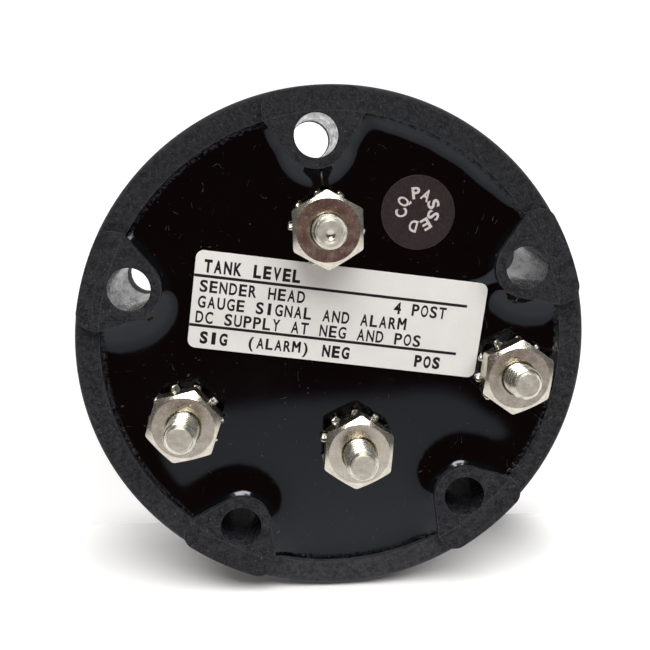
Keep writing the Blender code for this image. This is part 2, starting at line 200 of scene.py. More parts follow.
def moulded_black():
    m = Maker("look_moulded_black")
    split = m.node("ShaderNodeSeparateXYZ")
    m.link(m.coord, split.inputs[0])
    x, y, z = split.outputs
    # the screw holes' walls are smooth where the core pins left them
    gap = None
    for cx, cy in hole_centres():
        dx = m.maths("SUBTRACT", x, cx * MM)
        dy = m.maths("SUBTRACT", y, cy * MM)
        away = m.maths("SQRT", m.maths("ADD", m.maths("MULTIPLY", dx, dx), m.maths("MULTIPLY", dy, dy)))
        gap = away if gap is None else m.maths("MINIMUM", gap, away)
    bore = m.ramp(gap, 2.86 * MM, 2.76 * MM)
    blotch = m.noise(5.0, 3, 0.6)
    grain = m.noise(0.75, 5, 0.80)
    fine = m.noise(0.32, 3, 0.7)
    fleck = m.cells(0.42)
    spot = m.ramp(fleck.outputs["Distance"], 0.12, 0.34, 1.0, 0.0)
    pick = m.node("ShaderNodeSeparateColor")
    m.link(fleck.outputs["Color"], pick.inputs["Color"])
    lucky = m.ramp(pick.outputs["Red"], 0.72, 0.98)
    spots = m.maths("MULTIPLY", spot, lucky)
    tone = m.mix(m.ramp(grain, 0.42, 0.58), (0.0022, 0.0022, 0.0032), (0.0250, 0.0250, 0.0300))
    tone = m.mix(m.ramp(fine, 0.52, 0.66, 0.0, 0.6), tone, (0.052, 0.053, 0.061))
    tone = m.mix(m.ramp(blotch, 0.35, 0.7, 0.0, 0.25), tone, (0.016, 0.016, 0.020))
    tone = m.mix(m.maths("MULTIPLY", spots, 0.7), tone, (0.115, 0.117, 0.128))
    # a faint line where the cavity's core met the pads
    radius = m.maths("SQRT", m.maths("ADD", m.maths("MULTIPLY", x, x), m.maths("MULTIPLY", y, y)))
    line = m.maths("ABSOLUTE", m.maths("SUBTRACT", radius, CAVITY_R * MM))
    line = m.ramp(line, 0.05 * MM, 0.13 * MM, 1.0, 0.0)
    line = m.maths("MULTIPLY", line, m.ramp(z, (PAD_Z - 0.12) * MM, (PAD_Z - 0.05) * MM))
    line = m.maths("MULTIPLY", line, m.ramp(m.noise(1.3, 2, 0.6), 0.30, 0.55, 0.25, 1.0))
    tone = m.mix(m.maths("MULTIPLY", line, 0.32), tone, (0.075, 0.077, 0.083))
    wear = m.ramp(m.edges(0.22), 0.02, 0.16)
    wear = m.maths("MULTIPLY", wear, m.ramp(m.noise(0.9, 4, 0.75), 0.36, 0.60, 0.1, 0.9))
    tone = m.mix(wear, tone, (0.085, 0.088, 0.094))
    # moulding scuffs, brushed across the rim in patches
    scuff = m.noise(0.5, 2, 0.5, m.scaled(0.35, 1.8, 1.0, 35))
    scuff = m.maths("MULTIPLY", m.ramp(scuff, 0.60, 0.72), m.ramp(m.noise(6.0, 2, 0.5), 0.5, 0.64))
    tone = m.mix(m.maths("MULTIPLY", scuff, 0.35), tone, (0.055, 0.056, 0.061))
    # handling dust along the lower edge, partly real dust and partly painted light that makes the lower rim lighter
    dust = m.maths("MULTIPLY", m.ramp(y, -14 * MM, -32 * MM), m.ramp(m.noise(2.0, 4, 0.7), 0.3, 0.7, 0.5, 1.0))
    dust = m.maths("MULTIPLY", dust, m.ramp(z, (PAD_Z - 0.2) * MM, (PAD_Z - 0.6) * MM))
    dust = m.maths("MULTIPLY", dust, m.ramp(grain, 0.40, 0.60, 0.35, 1.0))
    tone = m.mix(m.maths("MULTIPLY", dust, 0.62), tone, (0.070, 0.072, 0.079))
    # painted shade: the housing is darker towards the top, standing in for the light falling off there
    tone = m.mix(m.maths("MULTIPLY", m.ramp(y, -8 * MM, 28 * MM), 0.34), tone, (0.0030, 0.0030, 0.0040))
    rough = m.ramp(grain, 0.2, 0.8, 0.44, 0.66)
    streak = m.noise(0.9, 4, 0.7, m.scaled(1.0, 1.0, 0.22))
    wall_rough = m.ramp(streak, 0.3, 0.75, 0.12, 0.40)
    mixed = m.node("ShaderNodeMix", data_type="FLOAT")
    m.link(bore, mixed.inputs[0])
    m.link(rough, mixed.inputs[2])
    m.link(wall_rough, mixed.inputs[3])
    rough = mixed.outputs[0]
    height = m.maths("ADD", m.maths("MULTIPLY", grain, 0.65), m.maths("MULTIPLY", fine, 0.35))
    height = m.maths("MULTIPLY", height, m.maths("SUBTRACT", 1.0, m.maths("MULTIPLY", bore, 0.85)))
    normal = m.bump(height, 0.85, 0.34)
    normal = m.bump(m.noise(3.5, 2, 0.5), 0.25, 0.05, normal)
    normal = m.bump(line, 0.5, -0.03, normal)
    return m.surface(tone, rough, normal, Specular_IOR_Level=0.27)


def potting_epoxy():
    m = Maker("look_potting_epoxy")
    wave = m.noise(11.0, 2, 0.45)
    dust_cells = m.cells(1.05)
    centre = m.ramp(dust_cells.outputs["Distance"], 0.03, 0.075, 1.0, 0.0)
    pick = m.node("ShaderNodeSeparateColor")
    m.link(dust_cells.outputs["Color"], pick.inputs["Color"])
    dust = m.maths("MULTIPLY", centre, m.ramp(pick.outputs["Red"], 0.82, 0.86))
    lint_cells = m.cells(0.42)
    tiny = m.ramp(lint_cells.outputs["Distance"], 0.05, 0.13, 1.0, 0.0)
    pick2 = m.node("ShaderNodeSeparateColor")
    m.link(lint_cells.outputs["Color"], pick2.inputs["Color"])
    tiny = m.maths("MULTIPLY", tiny, m.ramp(pick2.outputs["Green"], 0.84, 0.90))
    tiny = m.maths("MULTIPLY", tiny, m.ramp(m.noise(5.0, 2, 0.6), 0.45, 0.62, 0.15, 1.0))
    # hair-fine lint: short curved stretches of a noise field's level line
    lint = m.noise(2.2, 1, 0.2, m.scaled(1.0, 0.6, 1.0, 30), 0.8)
    line = m.maths("ABSOLUTE", m.maths("SUBTRACT", lint, 0.5))
    line = m.ramp(line, 0.0018, 0.0065, 1.0, 0.0)
    line = m.maths("MULTIPLY", line, m.ramp(m.noise(1.3, 1, 0.4), 0.64, 0.69))
    scratch = m.noise(0.8, 1, 0.3, m.scaled(0.10, 2.2, 1.0, -32), 0.1)
    scratch = m.ramp(m.maths("ABSOLUTE", m.maths("SUBTRACT", scratch, 0.5)), 0.002, 0.009, 1.0, 0.0)
    scratch = m.maths("MULTIPLY", scratch, m.ramp(m.noise(2.0, 1, 0.4), 0.68, 0.76))
    specks = m.maths("MAXIMUM", m.maths("MAXIMUM", dust, m.maths("MULTIPLY", tiny, 0.55)), m.maths("MULTIPLY", line, 0.38))
    specks = m.maths("MAXIMUM", specks, m.maths("MULTIPLY", scratch, 0.12))
    haze = m.ramp(m.noise(14.0, 4, 0.6), 0.35, 0.75, 0.0, 1.0)
    tone = m.mix(haze, (0.0003, 0.0003, 0.0004), (0.0009, 0.0008, 0.0010))
    tone = m.mix(m.maths("MULTIPLY", specks, 0.42), tone, (0.30, 0.31, 0.32))
    rough = m.maths("ADD", m.ramp(haze, 0.0, 1.0, 0.05, 0.09), m.maths("MULTIPLY", specks, 0.4))
    normal = m.bump(wave, 0.10, 0.08)
    normal = m.bump(specks, 0.35, 0.03, normal)
    split = m.node("ShaderNodeSeparateXYZ")
    m.link(m.coord, split.inputs[0])
    px, py, _ = split.outputs
    radius = m.maths("SQRT", m.maths("ADD", m.maths("MULTIPLY", px, px), m.maths("MULTIPLY", py, py)))
    shore = m.ramp(radius, (CAVITY_R - 0.75) * MM, (CAVITY_R - 0.15) * MM)
    crumbs = m.maths("MULTIPLY", shore, m.ramp(m.noise(0.45, 3, 0.7), 0.45, 0.72))
    normal = m.bump(crumbs, 0.6, 0.16, normal)
    mat = m.surface(tone, rough, normal, IOR=1.5)
    m.shader.inputs["Specular Tint"].default_value = (0.84, 0.89, 1.0, 1.0)
    return mat


def plated(name, colour, low, high, ring_pitch=0.0, ring_strength=0.0, end_z=None, grit=1.0):
    """Bright plating with faint pits and handling marks. ring_pitch adds the
    turning marks about the piece's own Z axis, and end_z is the height above
    which a faced end is duller."""
    m = Maker(name)
    cloud = m.noise(0.9, 5, 0.65)
    fine = m.noise(0.14, 4, 0.65)
    tone = m.mix(m.ramp(cloud, 0.3, 0.72), tuple(0.80 * c for c in colour), tuple(min(1.0, 1.08 * c) for c in colour))
    stain = m.ramp(m.noise(2.4, 3, 0.6), 0.48, 0.72, 0.0, 0.5)
    tone = m.mix(stain, tone, (colour[0] * 0.86, colour[1] * 0.84, colour[2] * 0.70))
    pits = m.ramp(m.noise(0.30, 3, 0.7), 0.64, 0.74)
    tone = m.mix(m.maths("MULTIPLY", pits, 0.24), tone, tuple(0.40 * c for c in colour))
    mark = m.noise(0.5, 1, 0.3, m.scaled(0.25, 3.0, 1.0, 25))
    mark = m.ramp(m.maths("ABSOLUTE", m.maths("SUBTRACT", mark, 0.5)), 0.004, 0.02, 1.0, 0.0)
    mark = m.maths("MULTIPLY", mark, m.ramp(m.noise(1.4, 1, 0.4), 0.5, 0.64))
    tone = m.mix(m.maths("MULTIPLY", mark, 0.35), tone, tuple(0.35 * c for c in colour))
    rough = m.maths("ADD", m.ramp(cloud, 0.25, 0.8, low, high), m.maths("MULTIPLY", pits, 0.14))
    split = m.node("ShaderNodeSeparateXYZ")
    m.link(m.coord, split.inputs[0])
    if end_z is not None:
        end = m.ramp(split.outputs[2], (end_z - 0.16) * MM, (end_z - 0.11) * MM)
        rough = m.maths("ADD", rough, m.maths("MULTIPLY", end, 0.24))
    normal = m.bump(fine, 0.22 * grit, 0.016)
    if ring_pitch:
        radius = m.maths("SQRT", m.maths("ADD", m.maths("POWER", split.outputs[0], 2.0), m.maths("POWER", split.outputs[1], 2.0)))
        wobble = m.maths("MULTIPLY", m.noise(0.8, 1, 0.4), 0.00006)
        rings = m.maths("SINE", m.maths("MULTIPLY", m.maths("ADD", radius, wobble), 2 * math.pi / (ring_pitch * MM)))
        normal = m.bump(rings, ring_strength, 0.02, normal)
    return m.surface(tone, rough, normal, Metallic=1.0)


def label_face():
    m = Maker("look_label")
    fibre = m.noise(0.35, 4, 0.65)
    cloud = m.noise(7.0, 3, 0.55)
    tone = m.mix(m.ramp(cloud, 0.3, 0.7), (0.82, 0.805, 0.77), (0.88, 0.87, 0.835))
    tone = m.mix(m.ramp(fibre, 0.3, 0.75, 0.0, 0.25), tone, (0.75, 0.735, 0.70))
    smudge = m.ramp(m.noise(2.2, 3, 0.7), 0.66, 0.8, 0.0, 0.22)
    tone = m.mix(smudge, tone, (0.62, 0.59, 0.56))
    rough = m.ramp(fibre, 0.2, 0.8, 0.34, 0.5)
    normal = m.bump(fibre, 0.14, 0.01)
    return m.surface(tone, rough, normal)


def ink(name, colour, fade=0.05):
    m = Maker(name)
    patch = m.noise(0.25, 3, 0.7)
    tone = m.mix(m.ramp(patch, 0.4, 0.75, 0.0, 0.6), colour, tuple(c * 0.6 + fade for c in colour))
    return m.surface(tone, m.ramp(patch, 0.2, 0.8, 0.35, 0.6), m.bump(patch, 0.1, 0.005), Specular_IOR_Level=0.2)


def sticker_face():
    m = Maker("look_sticker")
    weave = m.noise(0.16, 3, 0.7)
    cloud = m.noise(3.0, 3, 0.6)
    tone = m.mix(m.ramp(weave, 0.3, 0.7), (0.005, 0.0025, 0.0028), (0.036, 0.022, 0.022))
    tone = m.mix(m.ramp(cloud, 0.4, 0.8, 0.0, 0.3), tone, (0.032, 0.021, 0.021))
    edge = m.ramp(m.edges(0.10, 4), 0.04, 0.3)
    tone = m.mix(m.maths("MULTIPLY", edge, 0.7), tone, (0.16, 0.13, 0.12))
    return m.surface(tone, m.ramp(weave, 0.2, 0.8, 0.36, 0.52), m.bump(weave, 0.2, 0.012))


def plain(name, low, high, rough, size=0.4, metal=0.0, bump=0.2, depth=0.02, **constants):
    m = Maker(name)
    fine = m.noise(size, 4, 0.65)
    broad = m.noise(size * 9, 3, 0.6)
    tone = m.mix(m.ramp(fine, 0.3, 0.72), low, high)
    tone = m.mix(m.ramp(broad, 0.45, 0.8, 0.0, 0.35), tone, tuple(0.7 * c for c in low))
    normal = m.bump(fine, bump, depth)
    return m.surface(tone, m.ramp(fine, 0.2, 0.8, rough * 0.85, min(1.0, rough * 1.2)), normal, Metallic=metal, **constants)


BLACK = moulded_black()
EPOXY = potting_epoxy()
NUT_METAL = plated("look_nut_plate", (0.86, 0.80, 0.69), 0.20, 0.30)
STUD_METAL = {
    key: plated(f"look_stud_plate_{key}", (0.80, 0.765, 0.665), 0.20, 0.32, 0.42, 0.12, value[4])
    for key, value in STUDS.items()
}
WASHER_METAL = plated("look_washer_plate", (0.82, 0.79, 0.71), 0.12, 0.24)
LABEL_FACE = label_face()
BLACK_INK = ink("look_black_ink", (0.012, 0.010, 0.012), 0.006)
WHITE_INK = ink("look_white_ink", (0.66, 0.60, 0.58))
STICKER_FACE = sticker_face()
RUBBER = plain("look_rubber", (0.014, 0.014, 0.014), (0.034, 0.034, 0.033), 0.82, 0.3, 0.0, 0.5, 0.05)
ALUMINIUM = plated("look_aluminium", (0.74, 0.74, 0.75), 0.24, 0.40, 0.18, 0.35)
BRASS = plated("look_brass", (0.70, 0.50, 0.22), 0.20, 0.34, 0.15, 0.3)
PTFE = plain("look_insulator", (0.72, 0.72, 0.70), (0.84, 0.84, 0.82), 0.45, 0.5, 0.0, 0.15, 0.02)
TIN = plated("look_tin", (0.66, 0.66, 0.64), 0.25, 0.4)
LAMINATE = plain("look_laminate", (0.012, 0.11, 0.045), (0.03, 0.19, 0.08), 0.42, 0.5, 0.0, 0.2, 0.02)
PACKAGE = plain("look_package", (0.012, 0.012, 0.012), (0.03, 0.03, 0.031), 0.5, 0.12, 0.0, 0.4, 0.02)
FILM = plain("look_film", (0.26, 0.03, 0.02), (0.42, 0.06, 0.045), 0.25, 1.2, 0.0, 0.2, 0.05)
BLUE = plain("look_trimmer", (0.02, 0.07, 0.30), (0.04, 0.12, 0.45), 0.3, 0.4)
TAN = plain("look_resistor", (0.48, 0.34, 0.17), (0.66, 0.50, 0.30), 0.4, 0.5)
CAN = plated("look_can", (0.62, 0.62, 0.64), 0.2, 0.35)


# ------------------------------------------------------------------ mesh tools
def link_object(name, mesh, mat, body, centre=(0.0, 0.0)):
    obj = bpy.data.objects.new(name, mesh)
    bpy.context.scene.collection.objects.link(obj)
    mesh.materials.clear()
    mesh.materials.append(mat)
    obj.location = (centre[0] * MM, centre[1] * MM, 0.0)
    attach(obj, body)
    return obj


def mesh_from(name, verts, faces, sharp=30.0):
    mesh = bpy.data.meshes.new(name)
    mesh.from_pydata([tuple(c * MM for c in v) for v in verts], [], faces)
    mesh.validate()
    mesh.shade_smooth()
    mesh.set_sharp_from_angle(angle=math.radians(sharp))
    return mesh


def rings_mesh(name, rings, close_ends=(True, True), sharp=30.0, loop=False):
    """Rings of equal point counts, bottom to top, joined by quads."""
    count = len(rings[0])
    verts = [p for ring in rings for p in ring]
    faces = []
    pairs = [(i, i + 1) for i in range(len(rings) - 1)]
    if loop:
        pairs.append((len(rings) - 1, 0))
    for i, j in pairs:
        for k in range(count):
            n = (k + 1) % count
            faces.append((i * count + k, i * count + n, j * count + n, j * count + k))
    if not loop and close_ends[0]:
        faces.append(tuple(range(count - 1, -1, -1)))
    if not loop and close_ends[1]:
        base = (len(rings) - 1) * count
        faces.append(tuple(base + k for k in range(count)))
    return mesh_from(name, verts, faces, sharp)


def helper(name, bm):
    bmesh.ops.recalc_face_normals(bm, faces=bm.faces)
    mesh = bpy.data.meshes.new(name)
    bm.to_mesh(mesh)
    bm.free()
    obj = bpy.data.objects.new(name, mesh)
    bpy.context.scene.collection.objects.link(obj)
    return obj


def prism(name, outline, z0, z1):
    bm = bmesh.new()
    face = bm.faces.new([bm.verts.new((x * MM, y * MM, z0 * MM)) for x, y in outline])
    out = bmesh.ops.extrude_face_region(bm, geom=[face])
    top = [v for v in out["geom"] if isinstance(v, bmesh.types.BMVert)]
    bmesh.ops.translate(bm, verts=top, vec=(0, 0, (z1 - z0) * MM))
    return helper(name, bm)


def turned(name, profile, segments):
    bm = bmesh.new()
    rings = []
    for r, z in profile:
        if r < 1e-6:
            rings.append([bm.verts.new((0, 0, z * MM))])
        else:
            rings.append(
                [
                    bm.verts.new((r * MM * math.cos(a), r * MM * math.sin(a), z * MM))
                    for a in (2 * math.pi * k / segments for k in range(segments))
                ]
            )
    pairs = list(zip(rings, rings[1:]))
    if profile[0][0] > 1e-6:
        pairs.append((rings[-1], rings[0]))
    for low, high in pairs:
        if len(low) == 1 and len(high) == 1:
            continue
        for k in range(segments):
            n = (k + 1) % segments
            if len(low) == 1:
                bm.faces.new((low[0], high[n], high[k]))
            elif len(high) == 1:
                bm.faces.new((low[k], low[n], high[0]))
            else:
                bm.faces.new((low[k], low[n], high[n], high[k]))
    return helper(name, bm)


def baked(obj, tools, name):
    """obj with its Boolean tools applied, as one new mesh. The tools go."""
    for tool, operation in tools:
        mod = obj.modifiers.new(tool.name, "BOOLEAN")
        mod.operation, mod.solver, mod.object = operation, "EXACT", tool
    bpy.context.view_layer.update()
    graph = bpy.context.evaluated_depsgraph_get()
    mesh = bpy.data.meshes.new_from_object(obj.evaluated_get(graph))
    mesh.name = name
    for tool, _ in tools:
        bpy.data.objects.remove(tool, do_unlink=True)
    bpy.data.objects.remove(obj, do_unlink=True)
    return mesh


def circle(r, segments, cx=0.0, cy=0.0):
    return [
        (cx + r * math.cos(a), cy + r * math.sin(a))
        for a in (2 * math.pi * k / segments for k in range(segments))
    ]


# ------------------------------------------------------------------ the cup
def flank(wall_r, nose_r, half):
    wall = (math.sqrt(wall_r**2 - half**2) - BOLT_R, half)
    leave = math.atan2(wall[1], wall[0]) + math.acos(nose_r / math.hypot(*wall))
    return wall, leave


def cavity_outline(inset=0.0, arc_step=1.5, nose_steps=28, flank_steps=1):
    """Inner outline of the cup, with whether each point lies on a boss."""
    wall_r, nose_r, half = CAVITY_R - inset, BOSS_R + inset, BOSS_HALF + 1.2 * inset
    wall, leave = flank(wall_r, nose_r, half)
    start = (nose_r * math.cos(leave), nose_r * math.sin(leave))
    order = sorted(a % 360 for a in HOLE_ANGLES)
    points = []
    for index, angle in enumerate(order):
        a = math.radians(angle)
        er, et = (math.cos(a), math.sin(a)), (-math.sin(a), math.cos(a))
        side = [
            tuple(s + (w - s) * k / flank_steps for s, w in zip(start, wall))
            for k in range(flank_steps + 1)
        ]
        local = [(r, -t) for r, t in reversed(side)]
        for k in range(1, nose_steps):
            b = 2 * math.pi - leave - (2 * math.pi - 2 * leave) * k / nose_steps
            local.append((nose_r * math.cos(b), nose_r * math.sin(b)))
        local += side
        for r, t in local:
            points.append(((BOLT_R + r) * er[0] + t * et[0], (BOLT_R + r) * er[1] + t * et[1], True))
        reach = math.degrees(math.asin(half / wall_r))
        first = angle + reach
        last = order[(index + 1) % 5] + (360 if index == 4 else 0) - reach
        steps = max(8, round((last - first) / arc_step))
        for k in range(1, steps):
            b = math.radians(first + (last - first) * k / steps)
            points.append((wall_r * math.cos(b), wall_r * math.sin(b), False))
    return points


def pad_outline(angle, grow=0.8, shrink=0.0):
    a = math.radians(angle)
    er, et = (math.cos(a), math.sin(a)), (-math.sin(a), math.cos(a))
    half, corner = BOSS_HALF + 0.1 - shrink, PAD_CORNER
    rim = BOLT_R + PAD_OUT - shrink
    edge = half - corner

    def outer(t):
        return math.sqrt(rim**2 - t**2) - BOLT_R

    local = [(outer(t), t) for t in (-edge + 2 * edge * k / 16 for k in range(17))]
    cx = outer(edge) - corner
    for k in range(1, 12):
        b = math.radians(90 * k / 12)
        local.append((cx + corner * math.cos(b), edge + corner * math.sin(b)))
    local.append((cx, half))
    wall, leave = flank(CAVITY_R, BOSS_R + grow, half)
    local.append((wall[0], wall[1]))
    for k in range(25):
        b = leave + (2 * math.pi - 2 * leave) * k / 24
        local.append(((BOSS_R + grow) * math.cos(b), (BOSS_R + grow) * math.sin(b)))
    local.append((wall[0], -wall[1]))
    local.append((cx, -half))
    for k in range(11, 0, -1):
        b = math.radians(90 * k / 12)
        local.append((cx + corner * math.cos(b), -edge - corner * math.sin(b)))
    return [((BOLT_R + r) * er[0] + t * et[0], (BOLT_R + r) * er[1] + t * et[1]) for r, t in local]


def make_housing():
    rounding = [
        (OUTER_R - EDGE_R + EDGE_R * math.sin(a), RIM_Z - EDGE_R + EDGE_R * math.cos(a))
        for a in (math.radians(90 - 15 * k) for k in range(7))
    ]
    profile = [(0, 0), (HUB_R - 0.5, 0), (HUB_R, 0.5), (HUB_R, FLANGE_Z), (OUTER_R - 0.4, FLANGE_Z)]
    profile += [(OUTER_R, FLANGE_Z + 0.4), *rounding, (0, RIM_Z)]
    body = turned("housing_body", profile, 240)
    tools = []
    for index, angle in enumerate(HOLE_ANGLES):
        tools.append((prism(f"pad_{index}", pad_outline(angle), RIM_Z - 2, PAD_Z), "UNION"))
    outline = [(x, y) for x, y, _ in cavity_outline()]
    tools.append((prism("cavity", outline, 13.65, PAD_Z + 2), "DIFFERENCE"))
    inner = [(x, y) for x, y, _ in cavity_outline(1.5)]
    tools.append((prism("well", inner, 10.7, 14.65), "DIFFERENCE"))
    for index, (x, y) in enumerate(hole_centres()):
        tools.append((prism(f"hole_{index}", circle(HOLE_R, 56, x, y), -2, PAD_Z + 4), "DIFFERENCE"))
    tools.append((prism("hub_bore", circle(8.12, 64), -2, 11.7), "DIFFERENCE"))
    mesh = baked(body, tools, "housing_shell")
    mesh.shade_smooth()
    mesh.set_sharp_from_angle(angle=math.radians(32))
    obj = link_object("housing_shell", mesh, BLACK, "head")
    bevel = obj.modifiers.new("worn_edges", "BEVEL")
    bevel.width, bevel.segments = 0.14 * MM, 3
    bevel.limit_method, bevel.angle_limit = "ANGLE", math.radians(38)
    bevel.use_clamp_overlap = True
    bevel.harden_normals = True
    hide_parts("head_housing")
    return obj


# ------------------------------------------------------------------ the potting
def wall_climb(x, y, boss):
    """How far the fill climbs the wall here, in mm. It barely creeps along the
    upper left and the bottom, and climbs every boss."""
    wobble = 0.5 * math.sin(1.9 * x + 0.7 * y) + 0.3 * math.sin(3.1 * y - 1.3 * x + 1.0) + 0.2 * math.sin(5.3 * x + 4.1 * y)
    if boss:
        return 1.06 * (1 + 0.10 * wobble)
    knots = (
        (-180, 0.40), (-150, 0.50), (-120, 0.22), (-100, 0.12), (-75, 0.14), (-60, 0.40), (-42, 0.95),
        (-10, 0.95), (15, 0.95), (40, 0.92), (72, 0.90), (90, 0.60), (104, 0.24), (150, 0.16), (180, 0.40),
    )
    angle = math.degrees(math.atan2(y, x))
    for (a0, h0), (a1, h1) in zip(knots, knots[1:]):
        if a0 <= angle <= a1:
            t = (angle - a0) / (a1 - a0)
            t = t * t * (3 - 2 * t)
            return (h0 + (h1 - h0) * t) * (1 + 0.16 * wobble)
    return 0.3


def settle(xy, tris, fixed, values, reach):
    """The height of a liquid surface pinned at the fixed points: the screened
    Laplace equation on the triangles, by conjugate gradients."""
    a, b, c = (xy[tris[:, k]] for k in range(3))
    area = 0.5 * np.abs((b[:, 0] - a[:, 0]) * (c[:, 1] - a[:, 1]) - (b[:, 1] - a[:, 1]) * (c[:, 0] - a[:, 0]))
    area = np.maximum(area, 1e-9)
    count = len(xy)
    mass = np.zeros(count)
    rows, cols, weights = [], [], []
    for k in range(3):
        i, j, o = tris[:, k], tris[:, (k + 1) % 3], tris[:, (k + 2) % 3]
        u, v = xy[i] - xy[o], xy[j] - xy[o]
        cot = (u * v).sum(1) / (2 * area)
        w = np.clip(0.5 * cot, 1e-4, 50.0)
        rows.append(i)
        cols.append(j)
        weights.append(w)
        mass += np.bincount(i, area / 3, count)
    i, j, w = map(np.concatenate, (rows, cols, weights))
    diagonal = np.bincount(i, w, count) + np.bincount(j, w, count) + mass / reach**2
    free = np.ones(count, bool)
    free[fixed] = False
    h = np.zeros(count)
    h[fixed] = values

    def apply(x):
        y = diagonal * x
        y -= np.bincount(i, w * x[j], count) + np.bincount(j, w * x[i], count)
        return y

    residual = np.where(free, -apply(h), 0.0)
    p = residual / diagonal
    rz = residual @ p
    for _ in range(400):
        q = np.where(free, apply(p), 0.0)
        step = rz / (p @ q)
        h += step * p
        residual -= step * q
        if np.abs(residual).max() < 1e-7:
            break
        z = residual / diagonal
        rz_new = residual @ z
        p = z + (rz_new / rz) * p
        rz = rz_new
    return h


def box_distance(xy, x, y, turn_deg, w, h):
    """Distance outside a turned rectangle, 0 inside."""
    c, s = math.cos(math.radians(turn_deg)), math.sin(math.radians(turn_deg))
    dx, dy = xy[:, 0] - x, xy[:, 1] - y
    u, v = np.abs(c * dx + s * dy) - w / 2, np.abs(-s * dx + c * dy) - h / 2
    return np.hypot(np.maximum(u, 0), np.maximum(v, 0))


def make_potting():
    """The fill's surface, climbing the walls and bosses in a creeping edge."""
    rim = cavity_outline(-0.03, 0.8, 40, 12)
    points = [(x, y) for x, y, _ in rim]
    n_rim = len(points)
    climbs = np.array([wall_climb(x, y, on_boss) for x, y, on_boss in rim])
    # the climb changes over a few points where a boss meets the wall
    for _ in range(6):
        climbs = (np.roll(climbs, 1) + 2 * climbs + np.roll(climbs, -1)) / 4
    for inset in (0.06, 0.14, 0.24, 0.36, 0.50, 0.66, 0.84, 1.05, 1.30, 1.60, 1.95, 2.35, 2.80, 3.30):
        points += [(x, y) for x, y, _ in cavity_outline(inset, 1.0, 30, 9)]
    grid = np.arange(-30.2, 30.3, 0.5)
    gx, gy = np.meshgrid(grid, grid)
    gx = gx + 0.25 * (np.arange(len(grid)) % 2)[:, None]
    inside = np.c_[gx.ravel(), gy.ravel()]
    wall = np.array([(x, y) for x, y, _ in cavity_outline(3.7, 1.6, 16, 3)])
    odd = np.zeros(len(inside), int)
    nxt = np.roll(wall, -1, 0)
    for a, b in zip(wall, nxt):
        cross = (a[1] > inside[:, 1]) != (b[1] > inside[:, 1])
        x_at = a[0] + (inside[:, 1] - a[1]) * (b[0] - a[0]) / ((b[1] - a[1]) or 1e-12)
        odd += cross & (inside[:, 0] < x_at)
    points += [tuple(p) for p in inside[odd % 2 == 1]]
    out = delaunay_2d_cdt([Vector(p) for p in points], [], [list(range(n_rim))], 1, 1e-5)
    xy = np.array([tuple(v) for v in out[0]])
    faces = [tuple(f) for f in out[2]]
    tris = np.array([f for f in faces if len(f) == 3])
    h = settle(xy, tris, np.arange(n_rim), climbs, 1.38)
    # a slow rise of the fill towards the right-hand wall
    right = np.exp(-(((xy[:, 0] - 27.5) / 6.5) ** 2) - ((xy[:, 1] + 11.0) / 7.0) ** 2)
    swell = 0.42 * right + 0.010 * np.sin(xy[:, 0] * 0.21 + 0.5) * np.sin(xy[:, 1] * 0.19 - 0.8)
    h = h + swell
    # it stays under the label, the sticker and the washers
    room = 0.05 + 0.45 * box_distance(xy, *LABEL[:5])
    room = np.minimum(room, 0.05 + 0.45 * np.maximum(0, np.hypot(xy[:, 0] - STICKER[0], xy[:, 1] - STICKER[1]) - STICKER[2]))
    for sx, sy, *_ in STUDS.values():
        room = np.minimum(room, 0.16 + 0.7 * np.maximum(0, np.hypot(xy[:, 0] - sx, xy[:, 1] - sy) - 5.0))
    soft = 0.05
    h = -soft * np.log(np.exp(-h / soft) + np.exp(-(room + 0.03) / soft))
    z = POTTING_Z - 0.03 + h
    verts = [(x, y, height) for (x, y), height in zip(xy, z)]
    base = len(verts)
    ring = list(range(n_rim))
    verts += [(verts[i][0], verts[i][1], POTTING_Z - 1.0) for i in ring]
    for k in ring:
        n = (k + 1) % n_rim
        faces.append((n, k, base + k, base + n))
    mesh = mesh_from("potting_surface", verts, faces, 70)
    bm = bmesh.new()
    bm.from_mesh(mesh)
    bmesh.ops.recalc_face_normals(bm, faces=bm.faces)
    up = sum(f.normal.z * f.calc_area() for f in bm.faces)
    if up < 0:
        bmesh.ops.reverse_faces(bm, faces=bm.faces)
    bm.to_mesh(mesh)
    bm.free()
    mesh.shade_smooth()
    obj = link_object("potting_surface", mesh, EPOXY, "head")
    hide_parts("potting_compound")
    return obj


